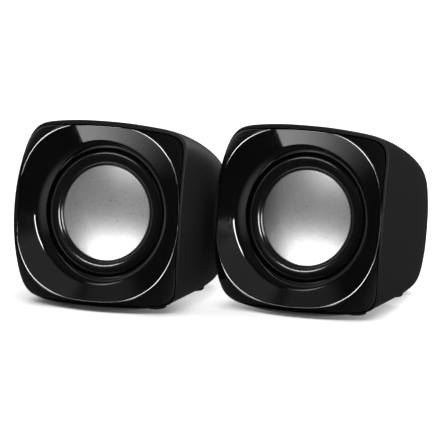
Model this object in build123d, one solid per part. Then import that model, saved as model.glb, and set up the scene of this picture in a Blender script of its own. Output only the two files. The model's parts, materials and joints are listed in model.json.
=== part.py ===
from build123d import *
import math
import os

# Pair of small two-channel desktop speakers, with their cables and plugs.
# World frame (mm): +X right, fronts face -Y, +Z up, origin on the desk midway
# between the two driver axes.
# Speaker frame (mm): x right, y back along the driver axis, z up the face,
# origin on the driver axis in the plane of the front rim's mid-sides.
# Parts are built in the speaker frame and then placed; cables and plugs are in world.


def corners(x, z_first, z_second):
    """Four mirrored places: first pair right to left, second pair left to right."""
    return [(x, z_first), (-x, z_first), (-x, z_second), (x, z_second)]


# --- placing: the two speakers mirror each other through the world Z axis
SIDES = {"left": -1, "right": 1}
SPEAKER_X, SPEAKER_Y = 39.25, 12.25
YAW = 1.19               # degrees, each face turned a little inward or outward by sign
TILT = 10.0              # face leans back, degrees
AXIS_HEIGHT = 40.0       # driver axis point above the desk

# --- cabinet
FACE_HALF_W, FACE_TOP, FACE_BOTTOM = 37.6, 37.6, -39.4
DEPTH = 68.0             # rim plane to rear face
REAR_HALF_W, REAR_TOP = 28.73, 22.21
SIDE_POWER = 4.99        # how late the sides curve in
TOP_POWER = 1.75         # how late the top curves down
REAR_ROUND = 4.6
WALL, REAR_WALL = 2.0, 4.0
FACE_SQUARENESS, REAR_SQUARENESS = 8.69, 6.6      # superellipse powers
RIPPLE_4, RIPPLE_8 = 0.0204, -0.0037              # outline corrections, 4 and 8 per turn
DOME_R, DOME_Y = 69.0, 57.9                       # sphere of the domed front
BODY_STATIONS = [-8, 4, 22, 38, 50]               # y of the sections both lofts share

# --- bezel
BEZEL_HALF_W, BEZEL_TOP, BEZEL_BOTTOM = 35.95, 35.0, -37.5
RIM_GAP = 0.42           # shadow gap round the bezel
BEZEL_T = 2.2
CONE_R, CONE_Y = 39.0, 0.9        # outer point that sets the slope of the bowl's cone
BOWL_R, BOWL_Y = 29.0, 4.4        # inner end of the bowl's cone
MOUTH_R, MOUTH_Y = 26.3, 7.6      # driver opening
MOUNT_Y = 9.6                     # face the driver is screwed to
PEGS = corners(28.8, 27.2, -29.6)
PEG_R, PEG_HOLE_R = 1.98, 2.0

# --- rear cover
COVER_HALF_W, COVER_TOP, COVER_BOTTOM, COVER_T = 23.5, 15.7, -20.7, 2.4
COVER_ROUND = 4.0
COVER_GAP = 0.15
OPENING_INSET = 3.5
COVER_FRONT = DEPTH - COVER_T
SCREW_INSET = 2.6
COVER_SCREWS = corners(COVER_HALF_W - SCREW_INSET, COVER_TOP - SCREW_INSET,
                       COVER_BOTTOM + SCREW_INSET)

# --- feet, in the levelled frame: (x, y) of each
FEET = corners(21.0, 12.0, 50.0)
FOOT_R, FOOT_HEIGHT, FOOT_GAP = 4.5, 2.6, 0.15

# --- driver
FLANGE_R = 31.0
SCREW_RING_R = 28.9
DRIVER_SCREWS = [(SCREW_RING_R * math.cos(math.radians(a)),
                  SCREW_RING_R * math.sin(math.radians(a))) for a in (45, 135, 225, 315)]
SURROUND_Y = MOUNT_Y + 0.5        # behind the gasket
SURROUND_T = 0.5
FLANGE_Y = SURROUND_Y + SURROUND_T
CAP_R, CAP_RISE, CAP_EDGE_Y, CAP_T = 19.7, 2.4, 9.8, 0.45
ROLL_R, ROLL_CREST_Y = 23.2, 8.0
COIL_R = 6.45
PLATE_Y, PLATE_R = 24.8, 14.0     # magnet top plate
MAGNET_Y, MAGNET_R = 27.3, 15.0
YOKE_Y = 34.3                     # front of the yoke's back plate

# --- amplifier and controls
BOARD_FRONT, BOARD_BACK = 51.0, 52.6
STANDOFFS = [(-13.6, 7.0), (13.6, -12.6)]
KNOB_X, KNOB_Z, KNOB_R = 8.0, 3.0, 8.0
SHAFT_R = 2.95
SHAFT_FLAT = 1.5                  # height of the flat above the shaft axis

# --- cables
LINK_R, USB_R, AUDIO_R, LEAD_R = 1.5, 1.6, 1.4, 0.6
CABLE_Z = -12.0
LINK_X, AUDIO_X, USB_X = -14.0, -4.5, 5.0
LEFT_LINK_X, LEFT_LINK_Z = 0.0, -10.0
GROMMET_R, GROMMET_HOLE_R, COLLAR_R = 3.0, 3.02, 4.0
HANK_CENTRE, HANK_USB_R, HANK_AUDIO_R = (12.0, 124.0), 23.6, 20.0
LINK_HANK_CENTRE, LINK_HANK_R = (-52.0, 98.0), 18.0
HANK_PITCH = 3.6
POINTS_PER_TURN = 8

# --- plugs: both lie on the desk along -X, grips between the same x
USB_Y, AUDIO_Y, PLUG_Z = 150.0, 134.4, 4.5
GRIP_TIP_X, GRIP_BACK_X, CABLE_END_X = -56.0, -32.0, -34.0
CENTRED = (Align.CENTER, Align.CENTER, Align.MIN)


# ------------------------------------------------------------------ helpers
def rod(radius, y0, y1, x=0.0, z=0.0):
    """Cylinder along y."""
    return Pos(x, y0, z) * Rot(-90, 0, 0) * Cylinder(radius, y1 - y0, align=CENTRED)


def ring(inner, outer, y0, y1, x=0.0, z=0.0):
    return rod(outer, y0, y1, x, z) - rod(inner, y0 - 1, y1 + 1, x, z)


def block(x0, x1, y0, y1, z0, z1):
    box = Box(x1 - x0, y1 - y0, z1 - z0)
    return Pos((x0 + x1) / 2, (y0 + y1) / 2, (z0 + z1) / 2) * box


def rounded(x0, x1, y0, y1, z0, z1, radius):
    """Block with its four y-direction edges rounded."""
    return fillet(block(x0, x1, y0, y1, z0, z1).edges().filter_by(Axis.Y), radius)


def drill(part, places, radius, y0, y1):
    for x, z in places:
        part -= rod(radius, y0, y1, x, z)
    return part


def lines(*points):
    """Straight edges joining (radius, y) points."""
    return [Edge.make_line(Vector(*a, 0), Vector(*b, 0)) for a, b in zip(points, points[1:])]


def arc(start, middle, end):
    return Edge.make_three_point_arc(Vector(*start, 0), Vector(*middle, 0), Vector(*end, 0))


def spin_edges(edges):
    """Solid of revolution about y."""
    return revolve(Face(Wire(edges)), axis=Axis.Y, revolution_arc=360)


def spin(points):
    """Solid of revolution about y from (radius, y) corner points."""
    return spin_edges(lines(*points, points[0]))


def tube(points, radius):
    """Round cable or wire along a smooth curve."""
    path = Edge.make_spline([Vector(*p) for p in points])
    start = Plane(origin=path @ 0, z_dir=path % 0)
    return sweep(start * Circle(radius), path=Wire([path]))


def screws(places, shank, head, slot):
    """Cross-slotted screws; shank and head are (radius, y0, y1),
    slot is (half length, half width, y0, y1)."""
    made = []
    long, narrow, y0, y1 = slot
    for x, z in places:
        screw = rod(*shank, x, z) + rod(*head, x, z)
        screw -= block(x - long, x + long, y0, y1, z - narrow, z + narrow)
        screw -= block(x - narrow, x + narrow, y0, y1, z - long, z + long)
        made.append(screw)
    return made


def placing(side):
    sign = SIDES[side]
    where = Pos(sign * SPEAKER_X, sign * SPEAKER_Y, AXIS_HEIGHT)
    return where * Rot(0, 0, -sign * YAW) * Rot(-TILT, 0, 0)


def world(side, x, y, z):
    """Speaker-frame point in world millimetres."""
    sign = SIDES[side]
    yaw, tilt = math.radians(-sign * YAW), math.radians(TILT)
    level_y = y * math.cos(tilt) + z * math.sin(tilt)
    level_z = -y * math.sin(tilt) + z * math.cos(tilt)
    return (sign * SPEAKER_X + x * math.cos(yaw) - level_y * math.sin(yaw),
            sign * SPEAKER_Y + x * math.sin(yaw) + level_y * math.cos(yaw),
            AXIS_HEIGHT + level_z)


def save(name, *shapes):
    solids = [solid for shape in shapes for solid in shape.solids()]
    node = solids[0] if len(solids) == 1 else Compound(children=solids)
    export_step(node, os.path.join("parts", name + ".step"))


# ------------------------------------------------------- outline and front surface
def outline_face(half_w, top, bottom, y, power=FACE_SQUARENESS, count=48):
    """Rounded-square face in the plane y = const."""
    middle, half_h = (top + bottom) / 2, (top - bottom) / 2
    points = []
    for k in range(count):
        angle = 2 * math.pi * k / count
        reach = (abs(math.cos(angle)) ** power + abs(math.sin(angle)) ** power) ** (-1.0 / power)
        reach *= 1 + RIPPLE_4 * math.cos(4 * angle) + RIPPLE_8 * math.cos(8 * angle)
        reach /= 1 + RIPPLE_4 + RIPPLE_8
        points.append(Vector(half_w * reach * math.cos(angle), y,
                             middle + half_h * reach * math.sin(angle)))
    return Face(Wire([Edge.make_spline(points, periodic=True)]))


def slab(half_w, top, bottom, y0, y1):
    return extrude(outline_face(half_w, top, bottom, y0), amount=y1 - y0, dir=(0, 1, 0))


def body_loft(inset, stations):
    """Cabinet body, its outline moved in by inset; the base is level with the desk."""
    faces = []
    for y in stations:
        depth = max(0.0, y)
        share = depth / DEPTH
        half_w = REAR_HALF_W + (FACE_HALF_W - REAR_HALF_W) * (1 - share ** SIDE_POWER)
        top = REAR_TOP + (FACE_TOP - REAR_TOP) * (1 - share ** TOP_POWER)
        bottom = FACE_BOTTOM + depth * math.tan(math.radians(TILT))
        power = FACE_SQUARENESS + (REAR_SQUARENESS - FACE_SQUARENESS) * share
        faces.append(outline_face(half_w - inset, top - inset, bottom + inset, y, power))
    return loft(faces)


def dome_y(radius):
    return DOME_Y - math.sqrt(DOME_R ** 2 - radius ** 2)


def find_ridge():
    """Radius where the bowl's cone meets the dome, by bisection."""
    slope = (BOWL_Y - CONE_Y) / (CONE_R - BOWL_R)
    low, high = 36.0, 44.0
    for _ in range(60):
        middle = (low + high) / 2
        if BOWL_Y - (middle - BOWL_R) * slope > dome_y(middle):
            low = middle
        else:
            high = middle
    return low


RIDGE_R = find_ridge()


def behind(shift, y_back, open_mouth):
    """Everything behind the front surface moved back by shift, out to 52 mm radius."""
    rim, middle, ridge = [(r, dome_y(r) + shift) for r in (52.0, 45.5, RIDGE_R)]
    mouth_y = MOUTH_Y + shift
    centre = [(MOUTH_R, y_back)] if open_mouth else [(0.0, mouth_y), (0.0, y_back)]
    return spin_edges([arc(rim, middle, ridge)] + lines(
        ridge, (BOWL_R, BOWL_Y + shift), (MOUTH_R, mouth_y), *centre, (rim[0], y_back), rim))


def cover_block(inset, y0, y1, radius):
    """Rounded block on the rear cover's outline, moved in by inset."""
    return rounded(-COVER_HALF_W + inset, COVER_HALF_W - inset, y0, y1,
                   COVER_BOTTOM + inset, COVER_TOP - inset, radius)


# ------------------------------------------------------------------- cabinet
def cabinet_shell():
    outer = body_loft(0.0, BODY_STATIONS + [60, DEPTH])
    outer = fillet(outer.edges().group_by(Axis.Y)[-1], REAR_ROUND)
    outer = outer & Pos(0, DOME_Y, 0) * Sphere(DOME_R)
    hollow = body_loft(WALL, BODY_STATIONS + [DEPTH - REAR_WALL])
    # peg bosses, each with a diagonal web to its corner
    for x, z in PEGS:
        out_x, out_z = math.copysign(1, x), math.copysign(1, z)
        boss = rod(3.7, 3.0, 17.0, x, z)
        web = Pos(x + out_x * 4.0, 10.0, z + out_z * 4.0) * Rot(0, -45 * out_x * out_z, 0)
        hollow -= boss + web * Box(11.0, 14.0, 2.4)
    pocket = slab(BEZEL_HALF_W + RIM_GAP, BEZEL_TOP + RIM_GAP, BEZEL_BOTTOM - RIM_GAP, -6, 14)
    pocket -= behind(BEZEL_T, 20, False)
    shell = outer - hollow
    shell -= pocket
    shell = drill(shell, PEGS, PEG_HOLE_R, 2.0, 15.5)
    # rebate for the rear cover, then the opening inside it
    shell -= cover_block(-COVER_GAP, COVER_FRONT, DEPTH + 2, COVER_ROUND + COVER_GAP)
    shell -= cover_block(OPENING_INSET, DEPTH - 8, DEPTH + 2, 3.0)
    for x, z in COVER_SCREWS:
        shell += rod(2.9, 57.5, COVER_FRONT, x, z) & outer
    shell = drill(shell, COVER_SCREWS, 1.0, 59.0, DEPTH)
    # shallow pockets in the base for the feet
    for x, y in FEET:
        hole = Cylinder(FOOT_R + FOOT_GAP, FOOT_HEIGHT + 1, align=CENTRED)
        shell -= Rot(TILT, 0, 0) * (Pos(x, y, -AXIS_HEIGHT - 1) * hole)
    return shell


def rubber_feet():
    feet = []
    for x, y in FEET:
        foot = Pos(x, y, -AXIS_HEIGHT) * Cylinder(FOOT_R, FOOT_HEIGHT, align=CENTRED)
        foot = chamfer(foot.edges().group_by(Axis.Z)[0], 0.4)
        feet.append(Rot(TILT, 0, 0) * foot)
    return feet


def front_bezel():
    front = slab(BEZEL_HALF_W, BEZEL_TOP, BEZEL_BOTTOM, -6, 22) & behind(0.0, 24, True)
    bezel = front - behind(BEZEL_T, 26, False)
    bezel += ring(MOUTH_R, FLANGE_R + 0.3, 2.0, MOUNT_Y) & behind(0.0, 24, True)
    for x, z in PEGS:
        bezel += rod(PEG_R, 3.0, 14.0, x, z) & behind(1.0, 24, True)
    bezel -= rod(FLANGE_R + 0.3, MOUNT_Y, 30.0)
    return drill(bezel, DRIVER_SCREWS, 1.0, 6.0, 12.0)


def rear_cover():
    cover = cover_block(0.0, COVER_FRONT, DEPTH, COVER_ROUND)
    cover = chamfer(cover.edges().group_by(Axis.Y)[-1], 0.4)
    for x, z in COVER_SCREWS:
        cover -= rod(1.25, 60, 70, x, z)
        cover -= rod(2.3, DEPTH - 1.2, 70, x, z)
    return cover


def right_rear_cover():
    """Cover with the knob hole, three cable holes and two board standoffs."""
    cover = rear_cover() - rod(3.8, 60, 70, KNOB_X, KNOB_Z)
    exits = [(x, CABLE_Z) for x in (LINK_X, AUDIO_X, USB_X)]
    cover = drill(cover, exits, GROMMET_HOLE_R, 60, 70)
    for x, z in STANDOFFS:
        cover += ring(0.9, 2.4, BOARD_BACK, COVER_FRONT, x, z)
    return cover


def grommet(cable_r, x, z):
    """Strain relief: body in the cover, collar each side, tapered tail."""
    bore = cable_r + 0.06
    return Pos(x, 0, z) * spin([
        (bore, COVER_FRONT - 1.2), (COLLAR_R, COVER_FRONT - 1.2), (COLLAR_R, COVER_FRONT),
        (GROMMET_R, COVER_FRONT), (GROMMET_R, DEPTH), (COLLAR_R, DEPTH), (COLLAR_R, DEPTH + 1.3),
        (GROMMET_R, DEPTH + 1.9), (cable_r + 0.9, DEPTH + 7.0), (bore, DEPTH + 7.0)])


# -------------------------------------------------------------------- driver
def driver_gasket():
    return drill(ring(MOUTH_R + 0.1, FLANGE_R, MOUNT_Y, SURROUND_Y), DRIVER_SCREWS, 1.3, 8, 12)


def driver_surround():
    """Half-roll surround with a flat rim and a short inner lip."""
    front, back = SURROUND_Y, FLANGE_Y
    edges = lines((FLANGE_R, front), (26.0, front))
    edges.append(arc((26.0, front), (ROLL_R, ROLL_CREST_Y), (20.4, front)))
    edges += lines((20.4, front), (19.95, front), (19.95, back), (20.9, back))
    edges.append(arc((20.9, back), (ROLL_R, ROLL_CREST_Y + 0.55), (25.5, back)))
    edges += lines((25.5, back), (FLANGE_R, back), (FLANGE_R, front))
    return drill(spin_edges(edges), DRIVER_SCREWS, 1.3, 8, 12)


def driver_basket():
    step = FLANGE_Y + 1.0
    basket = spin([
        (FLANGE_R, FLANGE_Y), (24.8, FLANGE_Y), (24.8, step), (16.4, 20.5), (13.0, 20.5),
        (13.0, 23.8), (7.6, 23.8), (7.6, PLATE_Y), (PLATE_R, PLATE_Y), (PLATE_R, 21.5),
        (17.0, 21.5), (26.0, step), (FLANGE_R, step)])
    for angle in (0, 90, 180, 270):
        basket -= Rot(0, angle, 0) * block(15.5, 40, 12.9, 19.2, -8.5, 8.5)
    return drill(basket, DRIVER_SCREWS, 1.3, 8, 13)


def dome_cap():
    """Shallow spherical cap with a short skirt."""
    sphere_r = (CAP_R ** 2 + CAP_RISE ** 2) / (2 * CAP_RISE)
    skirt_r = CAP_R - 0.5

    def on_cap(radius, lift=0.0):
        y = CAP_EDGE_Y - CAP_RISE + sphere_r - math.sqrt(sphere_r ** 2 - radius ** 2) + lift
        return radius, y

    edge, inner_edge = (CAP_R, CAP_EDGE_Y), on_cap(skirt_r, CAP_T)
    return spin_edges(
        [arc(on_cap(0), on_cap(10), edge)]
        + lines(edge, (CAP_R, FLANGE_Y), (skirt_r, FLANGE_Y), inner_edge)
        + [arc(inner_edge, on_cap(10, CAP_T), on_cap(0, CAP_T))]
        + lines(on_cap(0, CAP_T), on_cap(0)))


def driver_cone():
    bore = COIL_R + 0.02
    return spin([(20.9, FLANGE_Y), (17.7, FLANGE_Y), (bore, 17.2), (bore, 19.2), (6.87, 19.2),
                 (6.87, 17.5), (17.8, FLANGE_Y + 0.4), (20.9, FLANGE_Y + 0.4)])


def driver_spider():
    """Corrugated disc: 3.5 waves between the cone neck and a flat rim."""
    inner, outer, y_mid, height, waves, count = 7.0, 13.4, 19.95, 0.62, 3.5, 24
    half_t = 0.2
    middle = [(COIL_R + 0.02, y_mid)]
    for k in range(count + 1):
        middle.append((inner + (outer - inner) * k / count,
                       y_mid - height * math.sin(2 * math.pi * waves * k / count)))
    middle += [(13.7, 20.28), (16.0, 20.28)]
    return spin([(r, y - half_t) for r, y in middle]
                + [(r, y + half_t) for r, y in reversed(middle)])


def ring_magnet():
    magnet = ring(9.0, MAGNET_R, MAGNET_Y, YOKE_Y)
    rims = magnet.edges().filter_by(GeomType.CIRCLE).group_by(SortBy.RADIUS)[-1]
    return chamfer(rims, 0.5)


def magnet_yoke():
    """Centre pole on a back plate."""
    yoke = rod(6.1, PLATE_Y, YOKE_Y) + rod(14.0, YOKE_Y, YOKE_Y + 3.0)
    return chamfer(yoke.edges().group_by(Axis.Y)[-1], 0.6)


# -------------------------------------------------------- active electronics
def amplifier_board():
    board = rounded(-17.0, 17.0, BOARD_FRONT, BOARD_BACK, -16.0, 10.0, 1.5)
    return drill(board, STANDOFFS, 1.1, 50, 54)


def amplifier_chip(legs=8, pitch=1.27):
    """Chip body with a row of bent legs along its lower and upper edges."""
    chip = block(1.0, 11.0, 49.4, BOARD_FRONT, 1.0, 5.0)
    # z spans of each row: (foot z0, z1), (riser z0, z1)
    rows = [((0.0, 1.0), (0.7, 1.0)), ((5.0, 6.0), (5.0, 5.3))]
    for k in range(legs):
        x0, x1 = 1.35 + k * pitch, 1.76 + k * pitch
        for foot, riser in rows:
            chip += block(x0, x1, 50.75, BOARD_FRONT, foot[0] - 0.001, foot[1] + 0.001)
            chip += block(x0, x1, 50.1, BOARD_FRONT, *riser)
    return chip


def amplifier_capacitors():
    cans = [rod(3.15, 42.0, BOARD_FRONT, x, z) for x, z in ((-9.5, -8.5), (-2.0, -10.5))]
    return [fillet(can.edges().group_by(Axis.Y)[0], 0.6) for can in cans]


def volume_potentiometer():
    body = rounded(KNOB_X - 4.9, KNOB_X + 4.9, BOARD_BACK, 57.6,
                   KNOB_Z - 5.5, KNOB_Z + 5.5, 0.6)
    body += rod(3.5, 57.6, 62.0, KNOB_X, KNOB_Z)
    return body - rod(3.0, 54.5, 64.0, KNOB_X, KNOB_Z)


def shaft_with_flat(radius, y0, y1, flat_y, flat):
    """Round shaft with a flat on top from flat_y back."""
    shaft = rod(radius, y0, y1, KNOB_X, KNOB_Z)
    return shaft - block(KNOB_X - 4, KNOB_X + 4, flat_y, 78.0, KNOB_Z + flat, KNOB_Z + 4)


def volume_knob(grooves=24):
    knob = rod(KNOB_R, 69.2, 78.6, KNOB_X, KNOB_Z)
    knob = fillet(knob.edges().group_by(Axis.Y)[-1], 0.9)
    groove_ring = KNOB_R + 0.15
    for k in range(grooves):
        angle = 2 * math.pi * k / grooves
        knob -= rod(0.55, 70.6, 80.0, KNOB_X + groove_ring * math.cos(angle),
                    KNOB_Z + groove_ring * math.sin(angle))
    knob -= shaft_with_flat(SHAFT_R + 0.02, 60.0, 76.2, 68.0, SHAFT_FLAT + 0.02)
    # pointer line in the rear face
    return knob - block(KNOB_X - 0.5, KNOB_X + 0.5, 78.1, 80.0, KNOB_Z + 2.5, KNOB_Z + 7.0)


# ------------------------------------------------------------------- cables
def driver_lead(sign, points):
    """Wire from the terminal lug on the side given by sign."""
    return tube([(sign * 3.5, 17.05, -28.0), (sign * 3.5, 19.0, -28.0)] + points, LEAD_R)


def hank(centre, radius, z0, turns):
    """Points of a coil that rises one pitch per turn, anticlockwise from +X."""
    points, count = [], int(round(turns * POINTS_PER_TURN))
    for k in range(count + 1):
        angle = 2 * math.pi * turns * k / count
        points.append((centre[0] + radius * math.cos(angle),
                       centre[1] + radius * math.sin(angle),
                       z0 + HANK_PITCH * turns * k / count))
    return points


def exit_points(side, x, z, inner):
    """Straight run out through the rear cover, starting at y = inner."""
    stations = [inner, inner + 4, DEPTH - 5, DEPTH - 1, DEPTH + 3, DEPTH + 7, DEPTH + 9]
    return [world(side, x, y, z) for y in stations]


# World points: cabinet exit, drop to the desk, coil, then the run to the far end.
USB_PATH = (
    exit_points("right", USB_X, CABLE_Z, BOARD_BACK)
    + [(44.2, 93.0, 11.5), (41.6, 104.0, 4.6), (38.0, 114.0, 2.2)]
    + hank(HANK_CENTRE, HANK_USB_R, 1.8, 4.25)
    + [(2.0, 148.2, 17.2), (-8.0, 149.4, 12.5), (-17.0, 150.0, 6.2), (-25.0, USB_Y, PLUG_Z),
       (-30.0, USB_Y, PLUG_Z), (CABLE_END_X, USB_Y, PLUG_Z)])
AUDIO_PATH = (
    exit_points("right", AUDIO_X, CABLE_Z, BOARD_BACK)
    + [(35.4, 93.0, 11.2), (34.9, 104.0, 4.6), (33.5, 114.0, 2.0)]
    + hank(HANK_CENTRE, HANK_AUDIO_R, 1.6, 4.25)
    + [(4.0, 143.7, 17.9), (-4.0, 141.4, 18.2), (-11.0, 138.3, 14.2), (-18.0, 135.4, 7.0),
       (-25.0, AUDIO_Y, PLUG_Z), (-30.0, AUDIO_Y, PLUG_Z), (CABLE_END_X, AUDIO_Y, PLUG_Z)])
LINK_PATH = (
    exit_points("left", LEFT_LINK_X, LEFT_LINK_Z, 58.0)
    + [(-38.6, 69.0, 12.0), (-35.6, 79.0, 4.6), (-33.6, 88.5, 2.0)]
    + hank(LINK_HANK_CENTRE, LINK_HANK_R, 1.7, 3.75)
    + [(-44.0, 79.9, 15.4), (-36.0, 80.2, 13.2), (-28.0, 82.6, 8.0), (-20.0, 86.4, 2.4),
       (-12.0, 88.0, 1.7), (-4.0, 88.0, 1.7), (4.0, 88.0, 1.7), (12.0, 88.4, 1.9),
       (19.5, 91.2, 4.6), (24.0, 92.4, 9.6)]
    + exit_points("right", LINK_X, CABLE_Z, BOARD_BACK)[::-1])


def cable_tie(centre, inner, outer, z0, z1, width=3.0, thick=0.5):
    """Band round a coil, on its -X side."""
    x, y = centre
    band = rounded(x - outer - thick, x - inner + thick, y - width / 2, y + width / 2,
                   z0 - thick, z1 + thick, 1.2)
    return band - rounded(x - outer, x - inner, y - width, y + width, z0, z1, 0.8)


# -------------------------------------------------------------------- plugs
def cable_bore(cable_r, y):
    bore = Cylinder(cable_r + 0.12, 20, align=CENTRED)
    return Pos(CABLE_END_X - 0.1, y, PLUG_Z) * Rot(0, 90, 0) * bore


def usb_block(x0, x1, half_w, half_h):
    """Block centred on the USB plug's axis."""
    return block(x0, x1, USB_Y - half_w, USB_Y + half_w, PLUG_Z - half_h, PLUG_Z + half_h)


def usb_plug_grip():
    grip = usb_block(GRIP_TIP_X, GRIP_BACK_X, 8.1, 4.2)
    grip = fillet(grip.edges().filter_by(Axis.X), 2.2)
    tail = Pos(GRIP_BACK_X, USB_Y, PLUG_Z) * Rot(0, 90, 0) * Cone(3.6, 2.4, 8.0, align=CENTRED)
    grip = grip + tail - cable_bore(USB_R, USB_Y)
    return grip - usb_block(-60, -54.0, 6.0, 2.25)


def usb_plug_shell():
    """Thin rectangular sleeve with two windows through top and bottom."""
    shell = usb_block(-74.8, -54.0, 6.0, 2.25)
    shell -= usb_block(-80, -54.6, 5.7, 1.95)
    for y in (USB_Y - 2.9, USB_Y + 2.9):
        shell -= block(-68.6, -66.1, y - 1.1, y + 1.1, PLUG_Z - 5, PLUG_Z + 5)
    return shell


def audio_plug_grip():
    grip = spin([(0, 0), (4.1, 0), (4.2, 0.4), (4.2, 15.0), (3.4, 18.0), (3.0, 18.4),
                 (3.0, 24.0), (0, 24.0)])
    grip = Pos(GRIP_TIP_X, AUDIO_Y, PLUG_Z) * Rot(0, 0, -90) * grip
    return grip - cable_bore(AUDIO_R, AUDIO_Y)


def audio_plug_pin():
    pin = spin([(0, 0), (1.75, 0), (1.75, 10.9), (1.2, 11.6), (1.2, 12.0), (1.7, 12.7),
                (1.2, 13.6), (0.4, 14.0), (0, 14.0)])
    return Pos(GRIP_TIP_X, AUDIO_Y, PLUG_Z) * Rot(0, 0, 90) * pin


# ------------------------------------------------------------ build and save
os.makedirs("parts", exist_ok=True)
left, right = placing("left"), placing("right")

paired = {
    "cabinet_shell": [cabinet_shell()],
    "front_bezel": [front_bezel()],
    "rear_cover_screws": screws(
        COVER_SCREWS, shank=(0.97, 60.0, DEPTH - 1.1), head=(2.0, DEPTH - 1.2, DEPTH + 0.2),
        slot=(1.3, 0.28, DEPTH - 0.5, DEPTH + 1)),
    "rubber_feet": rubber_feet(),
    "driver_basket": [driver_basket()],
    "driver_gasket": [driver_gasket()],
    "driver_surround": [driver_surround()],
    "dome_cap": [dome_cap()],
    "driver_cone": [driver_cone()],
    "voice_coil_former": [ring(COIL_R - 0.15, COIL_R, 17.0, 28.9)],
    "voice_coil": [ring(COIL_R + 0.01, COIL_R + 0.40, 23.4, 28.7)],
    "driver_spider": [driver_spider()],
    "magnet_top_plate": [ring(7.15, PLATE_R, PLATE_Y, MAGNET_Y)],
    "ring_magnet": [ring_magnet()],
    "magnet_yoke": [magnet_yoke()],
    "driver_screws": screws(
        DRIVER_SCREWS, shank=(0.97, 6.3, 11.7), head=(2.1, 11.6, 13.1),
        slot=(1.4, 0.3, 12.4, 14)),
    "terminal_board": [block(-6.0, 6.0, 11.6, 13.0, -30.4, -27.4)],
    "terminal_lugs": [block(x - 0.9, x + 0.9, 13.0, 17.0, -28.6, -28.1) for x in (-3.5, 3.5)],
}
for side in SIDES:
    for name, shapes in paired.items():
        save(f"{side}_{name}", *[placing(side) * shape for shape in shapes])

save("left_rear_cover",
     left * (rear_cover() - rod(GROMMET_HOLE_R, 60, 70, LEFT_LINK_X, LEFT_LINK_Z)))
save("right_rear_cover", right * right_rear_cover())

save("amplifier_board", right * amplifier_board())
save("amplifier_chip", right * amplifier_chip())
save("amplifier_capacitors", *[right * can for can in amplifier_capacitors()])
save("board_screws", *[right * screw for screw in screws(
    STANDOFFS, shank=(0.87, 50.9, 57.0), head=(1.8, 49.7, BOARD_FRONT),
    slot=(1.2, 0.25, 49, 50.3))])
save("volume_potentiometer", right * volume_potentiometer())
save("volume_shaft", right * shaft_with_flat(SHAFT_R, 54.7, 76.0, 69.0, SHAFT_FLAT))
save("volume_knob", right * volume_knob())

save("right_cable_grommets", *[right * grommet(radius, x, CABLE_Z) for radius, x in (
    (LINK_R, LINK_X), (AUDIO_R, AUDIO_X), (USB_R, USB_X))])
save("left_cable_grommet", left * grommet(LINK_R, LEFT_LINK_X, LEFT_LINK_Z))
save("right_driver_leads",
     right * driver_lead(1, [(5.5, 30, -26), (11.0, 44, -12), (12.4, 49.4, -8.6),
                             (12.4, 50.95, -8.6)]),
     right * driver_lead(-1, [(0.5, 30, -27.5), (6.5, 44, -15), (8.4, 49.4, -10.4),
                              (8.4, 50.95, -10.4)]))
save("left_driver_leads", *[
    left * driver_lead(sign, [(sign * 4.2, 34, -25), (sign * 2.2, 50, -14),
                              (sign * 0.75, 56.5, -10), (sign * 0.75, 57.95, -10)])
    for sign in (1, -1)])

save("usb_cable", tube(USB_PATH, USB_R))
save("audio_cable", tube(AUDIO_PATH, AUDIO_R))
save("link_cable", tube(LINK_PATH, LINK_R))
save("signal_cable_tie",
     cable_tie(HANK_CENTRE, HANK_AUDIO_R - 1.8, HANK_USB_R + 2.0, 1.4, 16.8))
save("link_cable_tie",
     cable_tie(LINK_HANK_CENTRE, LINK_HANK_R - 1.9, LINK_HANK_R + 1.9, 1.5, 16.3))

save("usb_plug_grip", usb_plug_grip())
save("usb_plug_shell", usb_plug_shell())
save("usb_plug_insert", block(-74.2, -54.6, USB_Y - 5.7, USB_Y + 5.7,
                              PLUG_Z - 1.95, PLUG_Z - 0.1))
save("audio_plug_grip", audio_plug_grip())
save("audio_plug_pin", audio_plug_pin())
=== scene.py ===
# A pair of desktop speakers on a pale floor, with their leads coiled behind them.
# World: metres, front towards -Y, right +X, up +Z, floor at z = 0.
# Each speaker is shaped in millimetres in its own leaning frame (see Speaker).
import json
import math

import bmesh
import bpy
import numpy as np
from mathutils import Matrix, Vector


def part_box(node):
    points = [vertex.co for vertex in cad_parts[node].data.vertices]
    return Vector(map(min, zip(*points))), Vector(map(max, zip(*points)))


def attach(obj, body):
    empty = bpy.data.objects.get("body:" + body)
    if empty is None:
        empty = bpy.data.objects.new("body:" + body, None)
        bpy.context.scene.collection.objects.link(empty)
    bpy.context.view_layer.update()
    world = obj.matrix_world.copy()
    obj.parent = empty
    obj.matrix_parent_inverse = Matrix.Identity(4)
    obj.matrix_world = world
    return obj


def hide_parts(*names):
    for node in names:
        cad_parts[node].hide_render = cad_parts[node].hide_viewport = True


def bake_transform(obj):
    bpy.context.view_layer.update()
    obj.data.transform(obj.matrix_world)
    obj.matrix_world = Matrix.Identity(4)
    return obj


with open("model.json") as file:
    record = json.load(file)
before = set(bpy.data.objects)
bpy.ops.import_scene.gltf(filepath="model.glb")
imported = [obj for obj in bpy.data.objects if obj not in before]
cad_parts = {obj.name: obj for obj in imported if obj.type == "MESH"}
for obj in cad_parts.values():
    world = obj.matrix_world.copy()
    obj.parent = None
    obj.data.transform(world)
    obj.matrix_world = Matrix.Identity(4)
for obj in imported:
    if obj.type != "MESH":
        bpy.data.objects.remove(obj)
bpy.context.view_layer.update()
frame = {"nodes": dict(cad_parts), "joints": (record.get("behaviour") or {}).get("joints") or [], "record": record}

MM = 0.001

# --------------------------------------------------------------------------
# Dimensions of one speaker, millimetres in the speaker frame
# --------------------------------------------------------------------------
GASKET_Y = 9.85                # depth of the driver gasket's centre

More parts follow.
